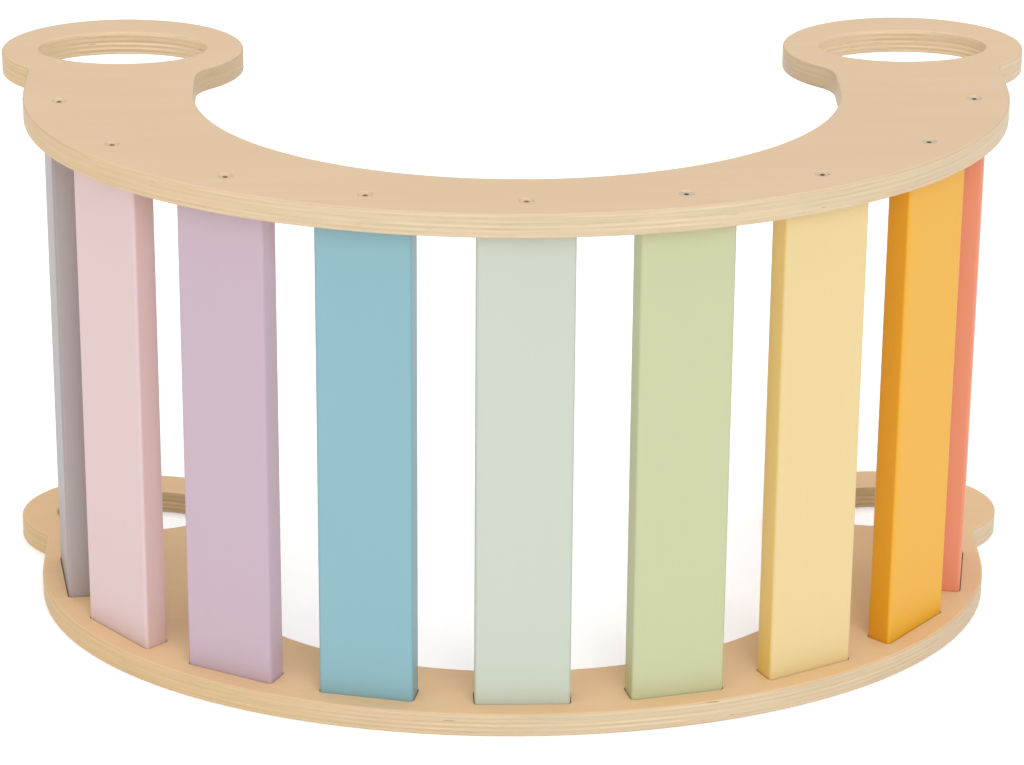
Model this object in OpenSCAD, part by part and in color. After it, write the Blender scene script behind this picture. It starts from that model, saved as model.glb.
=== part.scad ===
// Wooden rocker arch, standing on one of its two side boards.
// Two oval plywood side boards with ring handles carry nine painted slats.
// Each slat end sits in a pocket and is held by one countersunk hexagon socket screw.
// X runs along the arch, -Y is its convex rocking side and Z runs along the slats.

/* [Whole arch] */
// Distance between the outer faces of the side boards
arch_width = 473; // [380:1:560]
// Half the length of the rocking curve
arch_half_length = 423; // [400:1:440]
// Depth of the rocking curve below its widest line
arch_depth = 291; // [270:1:320]

/* [Side boards] */
// Thickness of the plywood
board_t = 21; // [18:0.5:24]
// Half the length of the inner curve
inner_half_length = 277; // [262:1:290]
// Depth of the inner curve below its own widest line
inner_depth = 209; // [190:1:222]
// Drop of the inner curve's widest line below the rocking curve's
inner_drop = 3; // [0:1:10]

/* [Ring handles] */
// Half the length of a handle
handle_half_length = 106; // [95:1:116]
// Half the depth of a handle
handle_half_depth = 77; // [68:1:86]
// Height of the handle's middle above the rocking curve's widest line
handle_rise = 107; // [98:1:120]
// Distance of the handle's middle inwards from the middle of the limb
handle_inset = 6; // [0:1:12]
// Wood left at the two ends of the grip hole
grip_end_wall = 32.5; // [26:0.5:38]
// Wood left along the grip hole
grip_side_wall = 36.5; // [28:0.5:42]
// Radius of the fillet where the handle meets the inner curve
neck_fillet = 30; // [20:1:36]
// Radius of the fillet where the handle meets the rocking curve
notch_fillet = 12; // [6:1:16]

/* [Slats] */
// Width of a slat
slat_w = 81; // [64:1:88]
// Thickness of a slat
slat_t = 23; // [17:0.5:24]
// Radius along the slat's long edges
slat_edge_r = 3; // [2:0.5:7]
// Distance from the rocking edge to a slat's outer face
slat_inset = 19; // [14:0.5:26]
// Place of the second pair of slats round the oval, in degrees from the middle
station_2 = 18.8; // [17.5:0.1:20]
// Place of the third pair
station_3 = 37.5; // [36:0.1:39]
// Place of the fourth pair
station_4 = 58.9; // [57.5:0.1:60]
// Place of the outermost pair
station_5 = 83.7; // [82.5:0.1:85]

/* [Pockets] */
// Depth of the routed pocket that takes a slat end
pocket_depth = 6; // [4:0.5:9]
// Gap round a slat in its pocket
pocket_gap = 0.8; // [0.4:0.1:1]

/* [Screws] */
// Outer diameter of the thread and of the plain shank
screw_d = 7; // [6:0.1:8]
// Diameter of the screw's core between the threads
core_d = 5; // [4:0.1:5.6]
// Length of a screw
screw_len = 50; // [40:1:60]
// Diameter of the head
head_d = 11; // [10:0.1:12]
// Width across the flats of the hexagon socket
socket_w = 4; // [3:0.1:5]
// Depth of the hexagon socket
socket_depth = 3; // [2:0.1:3.5]
// How far the head lies below the board's face
head_sink = 1; // [0.5:0.1:1.5]
// Pitch of the thread
thread_pitch = 3; // [2.5:0.1:4]
// Length of the plain shank beyond the board's thickness
shank_extra = 2; // [0:0.5:6]
// Depth of a slat's screw hole beyond the screw's point
hole_extra = 4; // [1:0.5:10]
// Gap between a screw and the wood round it
screw_gap = 0.2; // [0.1:0.05:0.25]

/* [Hidden] */
slat_colour_names = ["grey", "pink", "lilac", "blue", "mint", "green", "yellow", "orange", "coral"];
slat_colours = [
    [0.64, 0.60, 0.58], [0.90, 0.80, 0.78], [0.81, 0.73, 0.77],
    [0.56, 0.73, 0.77], [0.82, 0.85, 0.79], [0.81, 0.83, 0.67],
    [0.94, 0.85, 0.62], [0.95, 0.73, 0.34], [0.92, 0.55, 0.42]
];
birch = [0.89, 0.78, 0.66];
steel = [0.70, 0.70, 0.70];

slat_count = len(slat_colour_names);
slat_names = [for (c = slat_colour_names) str(c, "_slat")];
upper_screw_names = [for (i = [1:slat_count]) str("upper_screw_", i)];
lower_screw_names = [for (i = [1:slat_count]) str("lower_screw_", i)];

// Places round the oval, left to right
stations = [
    -station_5, -station_4, -station_3, -station_2, 0,
    station_2, station_3, station_4, station_5
];

handle_x = (arch_half_length + inner_half_length) / 2 - handle_inset;
// The widest line of the rocking curve lies this far behind the middle of the whole outline
widest_y = (arch_depth - handle_rise - handle_half_depth) / 2;
slat_z = board_t - pocket_depth;
slat_len = arch_width - 2 * slat_z;
head_h = (head_d - screw_d) / 2;
countersink_d = head_d + 2 * head_sink + 2 * screw_gap;
screw_hole_depth = screw_len + head_sink - slat_z + hole_extra;
// Degrees between the points of the outline's curves, and points along its two fillets
curve_step = 3;
notch_steps = 6;
neck_steps = 8;
// How far a cutting shape reaches past the face that it cuts
cut = 1;
$fn = 48;

// Point of an ellipse with half axes a and b at angle t
function oval_point(a, b, t) = [a * cos(t), b * sin(t)];

// Outward unit normal of that ellipse at the same angle
function oval_normal(a, b, t) = [b * cos(t), a * sin(t)] / norm([b * cos(t), a * sin(t)]);

// Middle of a circle of radius r that touches the handle from outside at angle t
function fillet_middle(r, t) =
    [handle_x, handle_rise] + oval_point(handle_half_length, handle_half_depth, t)
    + r * oval_normal(handle_half_length, handle_half_depth, t);

// Angle on the handle, between low and high, where that middle comes to the line x = line_x
function fillet_angle(r, line_x, low, high, turns = 40) =
    turns == 0 ? (low + high) / 2
    : let (mid = (low + high) / 2)
      fillet_middle(r, mid)[0] < line_x
      ? fillet_angle(r, line_x, mid, high, turns - 1)
      : fillet_angle(r, line_x, low, mid, turns - 1);

// Points of a circle from one angle to another, both ends included
function arc_points(middle, r, from, to, steps) =
    [for (i = [0:steps])
        let (t = from + (to - from) * i / steps)
        middle + r * [cos(t), sin(t)]];

notch_angle = fillet_angle(notch_fillet, arch_half_length + notch_fillet, -90, 0);
neck_angle = fillet_angle(neck_fillet, inner_half_length - neck_fillet, 180, 270);

// Right-hand half of a side board's outline, from the middle of the rocking edge
// round the handle to the middle of the inner curve
function half_outline() =
    let (
        notch_middle = fillet_middle(notch_fillet, notch_angle),
        notch_normal = oval_normal(handle_half_length, handle_half_depth, notch_angle),
        notch_end = 180 + atan2(notch_normal[1], notch_normal[0]),
        neck_middle = fillet_middle(neck_fillet, neck_angle),
        neck_normal = oval_normal(handle_half_length, handle_half_depth, neck_angle),
        neck_start = atan2(neck_normal[1], neck_normal[0]) + 180,
        ring_steps = ceil((neck_angle - notch_angle) / curve_step)
    )
    concat(
        [for (t = [-90:curve_step:0]) oval_point(arch_half_length, arch_depth, t)],
        arc_points(notch_middle, notch_fillet, 180, notch_end, notch_steps),
        [for (i = [1:ring_steps - 1])
            let (t = notch_angle + (neck_angle - notch_angle) * i / ring_steps)
            [handle_x, handle_rise] + oval_point(handle_half_length, handle_half_depth, t)],
        arc_points(neck_middle, neck_fillet, neck_start, 0, neck_steps),
        [for (t = [0:-curve_step:-90])
            [0, -inner_drop] + oval_point(inner_half_length, inner_depth, t)]
    );

// The left-hand half, in reverse and without the two points that lie on the middle line
function mirrored(points) =
    [for (i = [len(points) - 2:-1:1]) [-points[i][0], points[i][1]]];

// Middle of a slat's thickness at a place round the oval, and the angle that it is turned by
function slat_normal(place) = oval_normal(arch_half_length, arch_depth, place - 90);

function slat_middle(place) =
    oval_point(arch_half_length, arch_depth, place - 90)
    - (slat_inset + slat_t / 2) * slat_normal(place);

function slat_turn(place) = atan2(slat_normal(place)[1], slat_normal(place)[0]) + 90;

// Puts its children at one slat's place
module at_station(i) {
    middle = slat_middle(stations[i]);
    translate([middle[0], middle[1] + widest_y, 0])
        rotate([0, 0, slat_turn(stations[i])])
            children();
}

// Rectangle with rounded corners, w by d, centred
module rounded_rectangle(w, d, r) {
    square([w - 2 * r, d], center = true);
    square([w, d - 2 * r], center = true);
    for (x = [-1, 1], y = [-1, 1])
        translate([x * (w / 2 - r), y * (d / 2 - r)])
            circle(r);
}

module board_outline() {
    half = half_outline();
    grip_half_length = handle_half_length - grip_end_wall;
    grip_half_depth = handle_half_depth - grip_side_wall;
    grip_hole = [for (t = [0:2 * curve_step:360 - curve_step])
        oval_point(grip_half_length, grip_half_depth, t)];
    translate([0, widest_y])
        difference() {
            polygon(concat(half, mirrored(half)));
            for (side = [-1, 1])
                translate([side * handle_x, handle_rise]) polygon(grip_hole);
        }
}

// A side board lying with its outer face at z = 0 and its pockets on top
module side_board() {
    difference() {
        linear_extrude(board_t) board_outline();
        for (i = [0:slat_count - 1])
            at_station(i) {
                translate([0, 0, slat_z])
                    linear_extrude(pocket_depth + cut)
                        rounded_rectangle(
                            slat_w + 2 * pocket_gap,
                            slat_t + 2 * pocket_gap,
                            slat_edge_r + pocket_gap
                        );
                translate([0, 0, -cut])
                    cylinder(h = board_t, d = screw_d + 2 * screw_gap);
                translate([0, 0, -cut])
                    cylinder(h = countersink_d / 2 + cut, d1 = countersink_d + 2 * cut, d2 = 0);
            }
    }
}

// Turns its children over, so that what faced down at z = 0 faces up at the full width
module turned_over() {
    translate([0, 0, arch_width]) mirror([0, 0, 1]) children();
}

module lower_side_board() {
    color(birch) side_board();
}

module upper_side_board() {
    color(birch) turned_over() side_board();
}

module slat(i) {
    color(slat_colours[i])
        at_station(i)
            translate([0, 0, slat_z])
                difference() {
                    linear_extrude(slat_len) rounded_rectangle(slat_w, slat_t, slat_edge_r);
                    translate([0, 0, -cut])
                        cylinder(h = screw_hole_depth + cut, d = screw_d + 2 * screw_gap);
                    translate([0, 0, slat_len - screw_hole_depth])
                        cylinder(h = screw_hole_depth + cut, d = screw_d + 2 * screw_gap);
                }
}

// Profile of one thread after another, from the shank's end: down to the core and out again
function thread_points(from, turns) =
    [for (i = [1:turns], crest = [0, 1])
        [crest == 1 ? screw_d / 2 : core_d / 2, from + (i - 0.5 + crest / 2) * thread_pitch]];

// A screw with its head's face at z = 0 and its point upwards
module screw() {
    shank_end = board_t + shank_extra;
    point_z = screw_len - core_d / 2;
    thread_turns = floor((point_z - shank_end) / thread_pitch - 0.5);
    thread_end = shank_end + (thread_turns + 0.5) * thread_pitch;
    difference() {
        rotate_extrude()
            polygon(concat(
                [[0, 0], [head_d / 2, 0], [screw_d / 2, head_h], [screw_d / 2, shank_end]],
                thread_points(shank_end, thread_turns),
                [[core_d / 2, thread_end], [core_d / 2, point_z], [0, screw_len]]
            ));
        translate([0, 0, -cut])
            cylinder(h = socket_depth + cut, d = socket_w / cos(30), $fn = 6);
    }
}

module lower_screw(i) {
    color(steel) at_station(i) translate([0, 0, head_sink]) screw();
}

module upper_screw(i) {
    color(steel) turned_over() at_station(i) translate([0, 0, head_sink]) screw();
}

lower_side_board();
upper_side_board();
for (i = [0:slat_count - 1]) {
    slat(i);
    lower_screw(i);
    upper_screw(i);
}
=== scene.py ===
"""Looks of the wooden rocker arch: plywood side boards, painted slats and zinc plated screws.

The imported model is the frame. X runs along the arch, -Y is its convex rocking side and Z runs
along the slats. All sizes are in metres.
"""
import math

import bpy
from mathutils import Euler, Matrix, Vector


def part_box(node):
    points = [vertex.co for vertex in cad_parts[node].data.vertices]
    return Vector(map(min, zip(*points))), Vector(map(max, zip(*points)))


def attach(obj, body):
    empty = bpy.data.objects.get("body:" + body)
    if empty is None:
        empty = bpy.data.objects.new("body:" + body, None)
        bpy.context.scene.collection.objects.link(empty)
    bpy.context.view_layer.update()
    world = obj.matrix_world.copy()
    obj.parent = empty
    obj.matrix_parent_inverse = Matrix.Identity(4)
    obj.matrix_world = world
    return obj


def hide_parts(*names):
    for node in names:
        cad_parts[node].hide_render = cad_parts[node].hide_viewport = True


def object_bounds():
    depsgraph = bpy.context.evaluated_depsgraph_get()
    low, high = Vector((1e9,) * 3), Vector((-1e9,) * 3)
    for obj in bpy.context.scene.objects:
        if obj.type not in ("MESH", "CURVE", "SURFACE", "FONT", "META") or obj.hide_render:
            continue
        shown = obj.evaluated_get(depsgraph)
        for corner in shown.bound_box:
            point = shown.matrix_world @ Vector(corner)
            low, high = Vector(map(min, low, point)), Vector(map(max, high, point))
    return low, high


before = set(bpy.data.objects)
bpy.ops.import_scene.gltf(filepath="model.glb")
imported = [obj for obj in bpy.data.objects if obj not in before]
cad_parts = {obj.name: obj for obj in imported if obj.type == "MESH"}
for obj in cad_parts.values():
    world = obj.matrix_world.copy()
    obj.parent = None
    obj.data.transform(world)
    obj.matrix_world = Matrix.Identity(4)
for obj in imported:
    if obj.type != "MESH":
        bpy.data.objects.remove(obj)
cad_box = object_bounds()

# The camera stands where the photograph was taken from, and looks a little down
CAMERA_PLACE = (-0.107, -3.328, 1.712)
CAMERA_YAW = 0.0309
CAMERA_PITCH = 0.4212
CAMERA_ROLL = 0.0077
CAMERA_LENS = 147.2
SENSOR_WIDTH = 36.0

# Studio: a floor that glows faintly, under an even white sky
WHITE = (1.0, 1.0, 1.0)
FLOOR_HALF_WIDTH = 9.0
FLOOR_ROUGHNESS = 0.9
FLOOR_GLOW = (0.75, 0.85, 1.00)
FLOOR_GLOW_STRENGTH = 0.16
WORLD_STRENGTH = 0.50
COOL_LIGHT = (0.97, 0.99, 1.03)
WARM_LIGHT = (1.00, 0.82, 0.55)

# Rounding over of a side board's outline and grip holes
RIM_RADIUS = 0.002
RIM_SEGMENTS = 4
ROUND_PROFILE = 0.5
SHARP_ANGLE = math.radians(35)
MERGE_DISTANCE = 1e-6
FLAT_ANGLE = 0.01
# A face stands upright where its normal's Z is below this
UPRIGHT_NORMAL = 0.5

# Plies of a side board, and the tone of each from the bottom face to the top face
VENEER_THICKNESS = 0.00094
CORE_PLIES = 9
PLY_TONES = (0.97, 1.02, 0.95, 1.05, 0.97, 1.06, 0.95, 1.01, 0.98, 1.06, 0.98)
# How far the plies waver up and down, in plies
PLY_WAVER = 0.45

# Middle of the grip hole at +X, and its half length and half depth
GRIP_MIDDLE = (0.344, 0.1605)
GRIP_HALF_SIZE = (0.0735, 0.0405)
# Squared distance from that middle, in half sizes, over which the looks of a grip hole, its painted
# light and shade among them, fade out
GRIP_FADE = (1.15, 1.50)

# A board's upright walls: their tone, the X below which a painted warm light lies on them, then
# the painted light or shade of the grip holes' walls against the others, and how much painted
# warm shade lies in the grip holes' walls
BOARD_WALLS = {
    "lower_side_board": {
        "wall_tone": 0.903,
        "painted_warm_light_below": 0.10,
        "painted_grip_light_and_shade": 0.82,
        "painted_grip_warm_shade": 1.0,
    },
    "upper_side_board": {
        "wall_tone": 0.922,
        "painted_warm_light_below": -0.10,
        "painted_grip_light_and_shade": 1.12,
        "painted_grip_warm_shade": 0.0,
    },
}
# Distance over which the painted warm light on the walls grows, and the share of it left in a grip
# hole
PAINTED_WARM_LIGHT_FADE = (0.0, 0.50)
PAINTED_WARM_LIGHT_KEPT_IN_GRIP = 0.4

# Linear colours of the wood
OUTER_VENEER = (0.652, 0.474, 0.312)
GOLDEN_VENEER = (0.648, 0.476, 0.298)
INNER_VENEER = (0.722, 0.486, 0.265)
LAYERS_ALONG_X = (0.640, 0.505, 0.328)
LAYERS_ALONG_Y = (0.636, 0.488, 0.312)
# Colour of the walls under painted warm light and in painted warm shade
LAYERS_IN_PAINTED_WARM_LIGHT_AND_SHADE = (0.640, 0.450, 0.230)
GLUE_BROWN = (0.430, 0.290, 0.160)
GAP_BROWN = (0.180, 0.095, 0.040)

# Where a face turns into a wall, by how level its normal lies, and where it turns inwards
FACE_TO_WALL = (0.15, 0.80)
TURNED_INWARDS = (0.2, 0.8)
# Squared distance from a ply's middle at which its glue seam starts and is full
SEAM_FADE = (0.82, 1.00)

# Values of the noise at which each pattern in the wood starts and at which it is full
GOLDEN_FADE = (0.40, 0.62)
STRIPES_FADE = (0.36, 0.62)
BROKEN_SEAM_FADE = (0.35, 0.65)
PATCH_FADE = (0.60, 0.76)
FLECK_FADE = (0.62, 0.74)
GAP_FADE = (0.77, 0.80)

# Tone of the faces, and how much each pattern adds to it
FACE_TONE = 0.920
CLOUDS_IN_FACE = 0.07
FIGURE_IN_FACE = 0.07
FIBRES_IN_FACE = 0.02

# Tone of the layered walls, and how much each pattern adds to it
LAYER_TONE = 0.69
FIBRES_IN_LAYER = 0.10
DRIFT_IN_LAYER = 0.26
STREAKS_IN_LAYER = 0.32
# Scale of a ply's slow drift of tone, and the step that gives each ply its own part of the noise
DRIFT_SCALE = 11.0
DRIFT_PLY_STEP = 7.3

# Strength of the light and dark plies, at the two ends of what each pair names
STRIPES_MIDDLE_TO_SEAM = (1.3, 0.4)
STRIPES_ALONG_Y_TO_X = (0.20, 1.00)
STRIPES_AWAY_TO_GRIP = (1.0, 1.9)
STRIPES_FAINT_TO_BOLD = (0.45, 1.30)

# How much brown each mark lays over the wood
SEAM_SHARE = 0.10
PATCH_SHARE = 0.28
FLECK_SHARE = 0.32
RIM_LINE_SHARE = 0.35
GAP_SHARE = 0.6
# A brown line in the walls that run along Y: its depth below the face, and its half width
RIM_LINE_DEPTH = 0.0013
RIM_LINE_HALF_WIDTH = 0.0008

# Gloss of the lacquered wood, and the relief of its grain on the faces and on the walls
WOOD_ROUGHNESS = 0.42
FIBRES_IN_ROUGHNESS = 0.10
WALL_IN_ROUGHNESS = 0.06
GRAIN_FACE_TO_WALL = (0.35, 1.0)
GAP_DEPTH = 1.5
SEAM_DEPTH = 0.3
WOOD_RELIEF = {"distance": 0.00006, "strength": 0.5}

# Linear colours of the slats' paint, and what their narrow sides multiply it by, which is a painted
# light and shade on those sides
PAINTS = {
    "grey": ((0.328, 0.291, 0.288), (1.23, 1.21, 1.21)),
    "pink": ((0.648, 0.494, 0.498), (0.98, 0.90, 0.86)),
    "lilac": ((0.490, 0.372, 0.447), (1.10, 1.08, 1.10)),
    "blue": ((0.213, 0.400, 0.456), (0.98, 0.95, 0.96)),
    "mint": ((0.488, 0.540, 0.459), (0.98, 0.98, 0.98)),
    "green": ((0.491, 0.515, 0.307), (0.96, 0.99, 0.89)),
    "yellow": ((0.700, 0.545, 0.258), (1.16, 1.02, 0.60)),
    "orange": ((0.740, 0.376, 0.016), (0.99, 0.85, 0.50)),
    "coral": ((0.710, 0.252, 0.141), (1.08, 1.05, 1.03)),
}
# Squared cosine between a slat's broad way and its surface, over which the narrow sides end
NARROW_FADE = (0.02, 0.35)
# Tone and gloss of the paint, and how much each pattern adds to them and to the relief
PAINT_TONE = 0.975
PATCHES_IN_PAINT = 0.03
GRAIN_IN_PAINT = 0.015
PAINT_ROUGHNESS = 0.36
PATCHES_IN_PAINT_ROUGHNESS = 0.08
SPRAY_IN_PAINT_ROUGHNESS = 0.05
GRAIN_HEIGHT = 0.6
SPRAY_HEIGHT = 0.4
PAINT_RELIEF = {"distance": 0.00006, "strength": 0.35}

SCREW_COUNT = 9
# Linear colours of a screw's head and of the painted shade, with some dirt, in its socket. Their
# warm tint is partly a painted reflection of the wood round the screws, and the first screws, at
# the left, are yellower with more of that painted reflection
SCREWS_WITH_PAINTED_REFLECTION = 5
ZINC_WITH_PAINTED_REFLECTION = ((0.960, 0.800, 0.530), (0.640, 0.510, 0.320))
ZINC = ((0.850, 0.760, 0.610), (0.420, 0.345, 0.260))
SOCKET_RADIUS = 0.0022
# Distances from a screw's axis at which the painted shade in its socket starts to fade and has gone
SOCKET_FADE = (SOCKET_RADIUS * 0.85, SOCKET_RADIUS * 1.1)
SOCKET_SHARE = 0.85
# Turning rings on a screw, in radians per metre: one ring every 0.7 mm
RING_TURNS = 9000.0
# Tone and gloss of the zinc, and how much its spots and rings add to them and to the relief
ZINC_TONE = 0.88
SPOTS_IN_ZINC = 0.2
ZINC_ROUGHNESS = 0.36
SPOTS_IN_ZINC_ROUGHNESS = 0.14
RING_HEIGHT = 0.2
SPOT_HEIGHT = 0.5
ZINC_RELIEF = {"distance": 0.00003, "strength": 0.4}


class Signal:
    """A value, colour or vector inside a material. Arithmetic on values adds Math nodes."""

    def __init__(self, finish, socket):
        self.finish = finish
        self.socket = socket

    def math(self, operation, *values):
        return self.finish.node("ShaderNodeMath", {"operation": operation}, dict(enumerate(values)))

    def __add__(self, other):
        return self.math("ADD", self, other)

    def __radd__(self, other):
        return self.math("ADD", other, self)

    def __sub__(self, other):
        return self.math("SUBTRACT", self, other)

    def __rsub__(self, other):
        return self.math("SUBTRACT", other, self)

    def __mul__(self, other):
        return self.math("MULTIPLY", self, other)

    def __rmul__(self, other):
        return self.math("MULTIPLY", other, self)

    def __truediv__(self, other):
        return self.math("DIVIDE", self, other)

    def __mod__(self, other):
        return self.math("MODULO", self, other)

    def size(self):
        """The value without its sign."""
        return self.math("ABSOLUTE", self)

    def floor(self):
        return self.math("FLOOR", self)

    def root(self):
        return self.math("SQRT", self)

    def sine(self):
        return self.math("SINE", self)

    def at_least(self, other):
        return self.math("MAXIMUM", self, other)

    def at_most(self, other):
        return self.math("MINIMUM", self, other)

    def between(self, low, high):
        """Low where the value is 0, high where it is 1, and in proportion between them."""
        return low + self * (high - low)

    def step(self, low, high):
        """0 below low, 1 above high, and smooth between them."""
        return self.finish.node(
            "ShaderNodeMapRange",
            {"interpolation_type": "SMOOTHSTEP"},
            {"Value": self, "From Min": low, "From Max": high},
        )


class Finish:
    """A material under construction, on object coordinates."""

    def __init__(self, name):
        self.material = bpy.data.materials.new(name)
        self.material.use_nodes = True
        self.tree = self.material.node_tree
        self.shader = next(n for n in self.tree.nodes if n.type == "BSDF_PRINCIPLED")
        self.place = self.node("ShaderNodeTexCoord", output="Object")
        self.facing = self.node("ShaderNodeTexCoord", output="Normal")

    def node(self, kind, settings=None, inputs=None, output=0):
        """Adds a node, sets it, then gives its sockets their values or links."""
        node = self.tree.nodes.new(kind)
        for name, value in (settings or {}).items():
            if name == "stops":
                self.set_stops(node.color_ramp, value)
            else:
                setattr(node, name, value)
        for key, value in (inputs or {}).items():
            self.feed(self.find(node.inputs, key), value)
        return Signal(self, self.find(node.outputs, output))

    def set_stops(self, ramp, stops):
        """Gives a ramp its stops in grey. Each of them holds until the next one."""
        ramp.interpolation = "CONSTANT"
        while len(ramp.elements) < len(stops):
            ramp.elements.new(1.0)
        for index, (position, level) in enumerate(stops):
            ramp.elements[index].position = position
            ramp.elements[index].color = (level, level, level, 1.0)

    def find(self, sockets, key):
        """The socket with that number or that name."""
        if isinstance(key, int):
            return sockets[key]
        return next(s for s in sockets if s.enabled and s.name == key)

    def feed(self, socket, value):
        """Links a signal to a socket, or sets the socket to a plain value."""
        if isinstance(value, Signal):
            self.tree.links.new(value.socket, socket)
        elif socket.type == "RGBA":
            socket.default_value = (*value, 1.0)
        else:
            socket.default_value = value

    def set(self, **values):
        """Feeds the shader's own sockets, named with underscores for spaces."""
        for name, value in values.items():
            socket_name = name.replace("_", " ").title()
            self.feed(self.find(self.shader.inputs, socket_name), value)

    def parts(self, vector, axes="XYZ"):
        """The x, y and z of a vector, or only the ones asked for."""
        return [
            self.node("ShaderNodeSeparateXYZ", inputs={"Vector": vector}, output=axis)
            for axis in axes
        ]

    def noise(self, scale, detail=2.0, roughness=0.5, shift=(0.0, 0.0, 0.0)):
        """Noise from 0 to 1, with its own scale and shift along each axis."""
        vector = self.node(
            "ShaderNodeMapping",
            inputs={"Vector": self.place, "Location": shift, "Scale": scale},
        )
        return self.noise_at(vector, detail, roughness)

    def noise_at(self, vector, detail=2.0, roughness=0.5):
        """Noise from 0 to 1 at a vector's place."""
        return self.node(
            "ShaderNodeTexNoise",
            inputs={"Vector": vector, "Scale": 1.0, "Detail": detail, "Roughness": roughness},
        )

    def mix(self, factor, first, second):
        """One colour turning into another as the factor goes from 0 to 1."""
        return self.node(
            "ShaderNodeMix",
            {"data_type": "RGBA", "clamp_factor": True},
            {"Factor": factor, "A": first, "B": second},
            output="Result",
        )

    def shade(self, colour, amount):
        """A colour made darker or brighter all over by a value."""
        grey = self.node("ShaderNodeCombineXYZ", inputs={"X": amount, "Y": amount, "Z": amount})
        return self.node(
            "ShaderNodeMix",
            {"data_type": "RGBA", "blend_type": "MULTIPLY"},
            {"Factor": 1.0, "A": colour, "B": grey},
            output="Result",
        )

    def steps(self, place, levels):
        """The first level round place 0, then the others in even steps, each round its own."""
        stops = [
            (max(index - 0.5, 0.0) / len(levels), level)
            for index, level in enumerate(levels)
        ]
        ramp = self.node("ShaderNodeValToRGB", {"stops": stops}, {"Fac": place}, output="Color")
        return self.node("ShaderNodeRGBToBW", inputs={"Color": ramp})

    def bump(self, height, distance, strength):
        """The surface's normal, tilted as by a relief. A height of 1 stands for the distance."""
        return self.node(
            "ShaderNodeBump",
            inputs={"Height": height, "Distance": distance, "Strength": strength},
            output="Normal",
        )


def make_camera():
    data = bpy.data.cameras.new("studio_camera")
    data.lens = CAMERA_LENS
    data.sensor_width = SENSOR_WIDTH
    camera = bpy.data.objects.new("studio_camera", data)
    bpy.context.scene.collection.objects.link(camera)
    look = Euler((math.pi / 2 - CAMERA_PITCH, 0.0, -CAMERA_YAW)).to_matrix()
    turned = look @ Matrix.Rotation(CAMERA_ROLL, 3, "Z")
    camera.location = CAMERA_PLACE
    camera.rotation_euler = turned.to_euler()
    bpy.context.scene.camera = camera


def soft_sun(name, azimuth, elevation, spread, strength, colour=WHITE):
    """An even light from far away, as soft as a large softbox.

    Its angles are in degrees. Azimuth 0 is straight in front, and 90 is at the right.
    """
    data = bpy.data.lights.new(name, "SUN")
    data.angle = math.radians(spread)
    data.energy = strength
    data.color = colour
    light = bpy.data.objects.new(name, data)
    bpy.context.scene.collection.objects.link(light)
    turn = math.radians(azimuth)
    rise = math.radians(elevation)
    level = math.cos(rise)
    towards = Vector((math.sin(turn) * level, -math.cos(turn) * level, math.sin(rise)))
    light.rotation_euler = towards.to_track_quat("Z", "Y").to_euler()


def make_sky():
    world = bpy.data.worlds.new("white_room")
    world.use_nodes = True
    sky = next(n for n in world.node_tree.nodes if n.type == "BACKGROUND")
    sky.inputs["Color"].default_value = (*WHITE, 1.0)
    sky.inputs["Strength"].default_value = WORLD_STRENGTH
    bpy.context.scene.world = world


def make_floor():
    """A white floor that glows faintly blue, as a light table does."""
    bpy.ops.mesh.primitive_plane_add(size=2 * FLOOR_HALF_WIDTH, location=(0.0, 0.0, 0.0))
    floor = bpy.context.active_object
    floor.name = "studio_floor"
    panel = Finish("light_table")
    panel.set(base_color=WHITE, roughness=FLOOR_ROUGHNESS)
    panel.set(emission_color=FLOOR_GLOW, emission_strength=FLOOR_GLOW_STRENGTH)
    clothe(floor, panel.material)


def make_studio():
    """The sky and the floor, with soft suns from the front right, from the left and from above."""
    make_sky()
    soft_sun("key_light", azimuth=18, elevation=35, spread=40, strength=1.28, colour=COOL_LIGHT)
    soft_sun("left_fill", azimuth=-55, elevation=20, spread=60, strength=0.48, colour=WARM_LIGHT)
    soft_sun("top_light", azimuth=180, elevation=84, spread=60, strength=1.32)
    make_floor()


def near_grip(x, y):
    """1 at the walls of a grip hole, at either end of the board, and 0 away from it."""
    across = (x.size() - GRIP_MIDDLE[0]) / GRIP_HALF_SIZE[0]
    along = (y - GRIP_MIDDLE[1]) / GRIP_HALF_SIZE[1]
    return 1 - (across * across + along * along).step(*GRIP_FADE)


def find_ply(wood, z, bottom, thickness):
    """The number of the ply at each height, and how far off that ply's middle the height is.

    The bottom veneer is number 0. The distance is squared: 0 in the middle and 1 at the seams.
    """
    core_ply = (thickness - 2 * VENEER_THICKNESS) / CORE_PLIES
    waver = wood.noise((16.0, 16.0, 0.0), shift=(6.1, 2.2, 0.0))
    depth = (z - bottom - VENEER_THICKNESS) / core_ply + (waver - 0.5) * PLY_WAVER
    ply = depth.floor().at_least(-1).at_most(CORE_PLIES) + 1
    level = depth - depth.floor()
    off_middle = (level * 2 - 1) * (level * 2 - 1)
    return ply, off_middle


def wood_fibres(wood, ply):
    """Fibres along X, then fibres that lie along X in the even plies and along Y in the others."""
    along_x = wood.noise((18.0, 900.0, 1300.0), detail=3.0, roughness=0.6)
    along_y = wood.noise((900.0, 18.0, 1300.0), detail=3.0, roughness=0.6, shift=(3.1, 7.7, 1.3))
    crossed = ply % 2
    return along_x, along_x + crossed * (along_y - along_x)


def ply_drift(wood, x, y, ply):
    """The slow change of tone along the board, which is each ply's own."""
    own_place = wood.node(
        "ShaderNodeCombineXYZ",
        inputs={"X": x * DRIFT_SCALE, "Y": y * DRIFT_SCALE, "Z": ply * DRIFT_PLY_STEP},
    )
    return wood.noise_at(own_place, detail=3.0)


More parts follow.
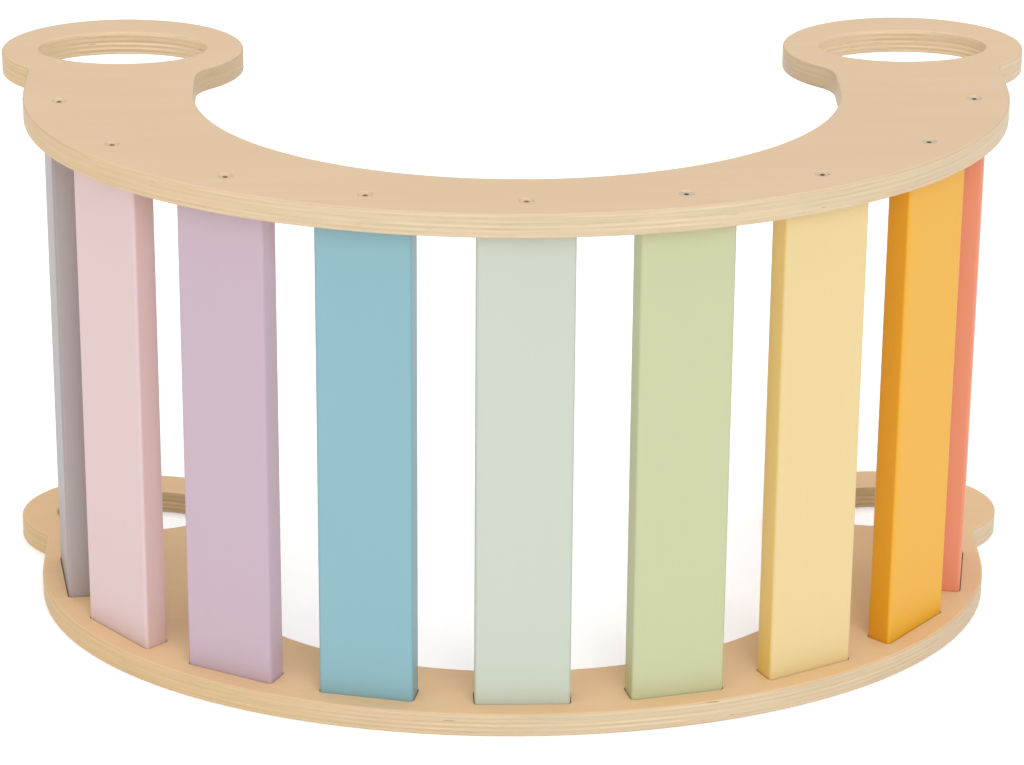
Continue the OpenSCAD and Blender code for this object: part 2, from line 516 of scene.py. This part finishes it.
def veneer_colour(wood, fibres, inwards):
    """A face: pale veneer with soft clouds, fine figure and golden parts, warmer inwards."""
    clouds = wood.noise((3.5, 12.0, 9.0), detail=3.0, shift=(0.4, 0.9, 5.2))
    figure = wood.noise((5.0, 90.0, 90.0), detail=3.0, roughness=0.6)
    golden = wood.noise((6.0, 45.0, 9.0), shift=(4.4, 1.9, 3.2)).step(*GOLDEN_FADE)
    tone = FACE_TONE + clouds * CLOUDS_IN_FACE + figure * FIGURE_IN_FACE + fibres * FIBRES_IN_FACE
    outer = wood.mix(golden, OUTER_VENEER, GOLDEN_VENEER)
    return wood.shade(wood.mix(inwards, outer, INNER_VENEER), tone)


def stripe_tone(wood, ply, off_middle, runs_along_x, in_grip):
    """The light and dark plies of the walls, which come and go along the board.

    They are strongest in the middle of a ply, on walls that run along X and in the grip holes.
    """
    fading = wood.noise((15.0, 15.0, 50.0), detail=1.0, shift=(7.2, 0.6, 3.9))
    strength = off_middle.between(*STRIPES_MIDDLE_TO_SEAM)
    strength = strength * runs_along_x.between(*STRIPES_ALONG_Y_TO_X)
    strength = strength * in_grip.between(*STRIPES_AWAY_TO_GRIP)
    strength = strength * fading.step(*STRIPES_FADE).between(*STRIPES_FAINT_TO_BOLD)
    ply_tone = wood.steps(ply / len(PLY_TONES), PLY_TONES)
    return 1 + (ply_tone - 1) * strength


def wall_colour(wood, x, runs_along_x, in_grip, painted_warm_light_below, painted_grip_warm_shade):
    """The colour of the walls, which turns warmer towards -X as a painted warm light, with a
    painted warm shade in the grip holes.
    """
    layer = wood.mix(runs_along_x, LAYERS_ALONG_Y, LAYERS_ALONG_X)
    # Painted warm light towards -X, and painted warm shade in the grip holes
    painted_warm_light = (painted_warm_light_below - x).step(*PAINTED_WARM_LIGHT_FADE) * in_grip.between(1.0, PAINTED_WARM_LIGHT_KEPT_IN_GRIP)
    return wood.mix(painted_warm_light + in_grip * painted_grip_warm_shade, layer, LAYERS_IN_PAINTED_WARM_LIGHT_AND_SHADE)


def brown_marks(wood, layer, broken_seam, rim_line):
    """Faint glue seams, soft brown patches and flecks, and a brown line close below the rim."""
    patches = wood.noise((40.0, 40.0, 380.0), shift=(1.2, 5.3, 2.4)).step(*PATCH_FADE)
    flecks = wood.noise((70.0, 70.0, 1100.0), shift=(5.9, 2.1, 7.5)).step(*FLECK_FADE)
    layer = wood.mix(broken_seam * SEAM_SHARE, layer, GLUE_BROWN)
    layer = wood.mix(patches * PATCH_SHARE + flecks * FLECK_SHARE, layer, GLUE_BROWN)
    return wood.mix(rim_line * RIM_LINE_SHARE, layer, GLUE_BROWN)


def birch_plywood(
    name, bottom, thickness, inner_side, wall_tone, painted_warm_light_below, painted_grip_light_and_shade, painted_grip_warm_shade
):
    """Birch plywood under clear satin lacquer. Each ply's grain lies across the next one's.

    The faces and every second ply have their grain along X. Inner side is 1 where the board's
    inner face looks up and -1 where it looks down, and that face has the warmer veneer. The
    last four values are the board's own, as BOARD_WALLS gives them. Three of them paint light and
    shade: a warm light towards -X, and light, or warm shade, in the grip holes.
    """
    wood = Finish(name)
    x, y, z = wood.parts(wood.place)
    ny, nz = wood.parts(wood.facing, "YZ")
    # 1 on the walls and 0 on the two faces
    edge = (1 - nz * nz).step(*FACE_TO_WALL)
    # 1 where a wall runs along X and so faces the front or the back, 0 where it runs along Y
    runs_along_x = ny * ny
    in_grip = near_grip(x, y)
    ply, off_middle = find_ply(wood, z, bottom, thickness)
    seam = off_middle.step(*SEAM_FADE)
    fibres_x, fibres = wood_fibres(wood, ply)
    drift = ply_drift(wood, x, y, ply)
    streaks = wood.noise((11.0, 11.0, 800.0), detail=3.0, roughness=0.6, shift=(8.0, 3.0, 1.0))

    inwards = (nz * inner_side).step(*TURNED_INWARDS)
    face = veneer_colour(wood, fibres_x, inwards)

    below_face = (z - bottom).at_most(bottom + thickness - z)
    off_line = (below_face - RIM_LINE_DEPTH) / RIM_LINE_HALF_WIDTH
    rim_line = (1 - off_line * off_line).at_least(0) * (1 - runs_along_x)
    stripes = stripe_tone(wood, ply, off_middle, runs_along_x, in_grip)
    tone = LAYER_TONE + fibres * FIBRES_IN_LAYER + drift * DRIFT_IN_LAYER
    tone = tone + streaks * STREAKS_IN_LAYER
    # Painted light on the upper board's grip hole walls, painted shade on the lower board's
    tone = wall_tone * in_grip.between(1.0, painted_grip_light_and_shade) * stripes * tone
    layer = wall_colour(wood, x, runs_along_x, in_grip, painted_warm_light_below, painted_grip_warm_shade)
    layer = wood.shade(layer, tone)
    layer = brown_marks(wood, layer, seam * drift.step(*BROKEN_SEAM_FADE), rim_line)

    # A few small open gaps in the walls
    gaps = wood.noise((36.0, 36.0, 420.0), detail=1.0, shift=(2.7, 0.3, 4.4)).step(*GAP_FADE)
    gaps = gaps * edge
    surface = wood.mix(edge, face, layer)
    grain_height = fibres * edge.between(*GRAIN_FACE_TO_WALL)
    grain_height = grain_height - gaps * GAP_DEPTH - seam * edge * SEAM_DEPTH
    wood.set(
        base_color=wood.mix(gaps * GAP_SHARE, surface, GAP_BROWN),
        roughness=WOOD_ROUGHNESS + fibres * FIBRES_IN_ROUGHNESS + edge * WALL_IN_ROUGHNESS,
        normal=wood.bump(grain_height, **WOOD_RELIEF),
    )
    return wood.material


def satin_paint(name, colour, painted_side_light_and_shade, broad_way):
    """Sprayed satin paint on sanded wood, which still shows a little of its grain.

    The narrow sides, which face away from the broad way, get a tint of the colour that is painted
    light and shade.
    """
    paint = Finish(name)
    nx, ny = paint.parts(paint.facing, "XY")
    squareness = nx * broad_way.x + ny * broad_way.y
    narrow = 1 - (squareness * squareness).step(*NARROW_FADE)
    # The narrow sides' tint is painted light and shade
    side_colour_with_painted_light_and_shade = tuple(part * tint for part, tint in zip(colour, painted_side_light_and_shade))
    coat_with_painted_sides = paint.mix(narrow, colour, side_colour_with_painted_light_and_shade)
    grain = paint.noise((260.0, 260.0, 6.0))
    spray = paint.noise((900.0, 900.0, 900.0), detail=1.0, shift=(1.7, 4.1, 0.6))
    patches = paint.noise((16.0, 16.0, 5.0), shift=(5.5, 0.2, 2.9))
    tone = PAINT_TONE + patches * PATCHES_IN_PAINT + grain * GRAIN_IN_PAINT
    roughness = PAINT_ROUGHNESS + patches * PATCHES_IN_PAINT_ROUGHNESS
    roughness = roughness + spray * SPRAY_IN_PAINT_ROUGHNESS
    paint.set(
        base_color=paint.shade(coat_with_painted_sides, tone),
        roughness=roughness,
        normal=paint.bump(grain * GRAIN_HEIGHT + spray * SPRAY_HEIGHT, **PAINT_RELIEF),
    )
    return paint.material


def zinc_plate(name, centre, head_colour, socket_shade_and_dirt):
    """Bright zinc on a turned steel screw with fine rings round its own axis, and painted shade and
    dirt in its socket.
    """
    zinc = Finish(name)
    x, y = zinc.parts(zinc.place, "XY")
    across = x - centre.x
    along = y - centre.y
    radius = (across * across + along * along).root()
    rings = (radius * RING_TURNS).sine()
    spots = zinc.noise((700.0, 700.0, 700.0))
    # Painted shade, with some dirt, in the socket
    in_socket = 1 - radius.step(*SOCKET_FADE)
    plated = zinc.shade(head_colour, ZINC_TONE + spots * SPOTS_IN_ZINC)
    zinc.set(
        base_color=zinc.mix(in_socket * SOCKET_SHARE, plated, socket_shade_and_dirt),
        metallic=1.0,
        roughness=ZINC_ROUGHNESS + spots * SPOTS_IN_ZINC_ROUGHNESS,
        normal=zinc.bump(rings * RING_HEIGHT + spots * SPOT_HEIGHT, **ZINC_RELIEF),
    )
    return zinc.material


def clothe(thing, material):
    """Gives an object one material all over."""
    thing.data.materials.clear()
    thing.data.materials.append(material)


def select_only(thing):
    bpy.ops.object.select_all(action="DESELECT")
    thing.select_set(True)
    bpy.context.view_layer.objects.active = thing


def rim_edges(mesh, bottom, top):
    """The edges where a flat face of the board meets a wall that goes right through it."""
    tall = []
    for face in mesh.polygons:
        heights = [mesh.vertices[v].co.z for v in face.vertices]
        through = min(heights) < bottom + MERGE_DISTANCE and max(heights) > top - MERGE_DISTANCE
        if through and abs(face.normal.z) < UPRIGHT_NORMAL:
            tall.append(face)
    walls = {key for face in tall for key in face.edge_keys}
    return [
        edge for edge in mesh.edges
        if edge.key in walls
        and mesh.vertices[edge.vertices[0]].co.z == mesh.vertices[edge.vertices[1]].co.z
    ]


def round_over(board, bottom, top):
    """Merges a copied board's loose triangles, then rounds its rims as a router leaves them."""
    select_only(board)
    bpy.ops.mesh.customdata_custom_splitnormals_clear()
    bpy.ops.object.mode_set(mode="EDIT")
    bpy.ops.mesh.select_mode(type="EDGE")
    bpy.ops.mesh.select_all(action="SELECT")
    bpy.ops.mesh.remove_doubles(threshold=MERGE_DISTANCE)
    bpy.ops.mesh.dissolve_limited(angle_limit=FLAT_ANGLE)
    bpy.ops.mesh.select_all(action="DESELECT")
    bpy.ops.object.mode_set(mode="OBJECT")
    for edge in rim_edges(board.data, bottom, top):
        edge.select = True
    bpy.ops.object.mode_set(mode="EDIT")
    bpy.ops.mesh.bevel(
        offset=RIM_RADIUS, segments=RIM_SEGMENTS, profile=ROUND_PROFILE, affect="EDGES"
    )
    bpy.ops.object.mode_set(mode="OBJECT")
    bpy.ops.object.shade_smooth_by_angle(angle=SHARP_ANGLE)
    even = board.modifiers.new("even_normals", "WEIGHTED_NORMAL")
    even.keep_sharp = True
    bpy.ops.object.modifier_apply(modifier=even.name)


def rounded_board(node, walls):
    """A side board with its outline and grip holes rounded over, in place of the plain one."""
    low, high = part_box(node)
    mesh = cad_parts[node].data.copy()
    board = bpy.data.objects.new("rounded_" + node, mesh)
    bpy.context.scene.collection.objects.link(board)
    round_over(board, low.z, high.z)
    # The board in the lower half of the arch faces upwards to the other one
    inner_side = 1 if low.z < cad_box[1][2] / 2 else -1
    plywood = birch_plywood("birch_" + node, low.z, high.z - low.z, inner_side, **walls)
    clothe(board, plywood)
    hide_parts(node)
    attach(board, "root")


def dress_slats():
    for colour_name, (colour, painted_side_light_and_shade) in PAINTS.items():
        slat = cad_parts[colour_name + "_slat"]
        broad_way = max(slat.data.polygons, key=lambda face: face.area).normal.copy()
        clothe(slat, satin_paint(colour_name + "_paint", colour, painted_side_light_and_shade, broad_way))


def dress_screws():
    """Gives each upper screw and the lower one below it a zinc with rings round their axis."""
    for number in range(1, SCREW_COUNT + 1):
        low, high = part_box(f"upper_screw_{number}")
        # The first screws' yellower colours are a painted reflection of the wood
        colours = ZINC_WITH_PAINTED_REFLECTION if number <= SCREWS_WITH_PAINTED_REFLECTION else ZINC
        zinc = zinc_plate(f"screw_zinc_{number}", (low + high) / 2, *colours)
        for level in ("upper", "lower"):
            clothe(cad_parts[f"{level}_screw_{number}"], zinc)


make_camera()
make_studio()
bpy.context.scene.view_settings.view_transform = "Standard"
for board_node, board_walls in BOARD_WALLS.items():
    rounded_board(board_node, board_walls)
dress_slats()
dress_screws()
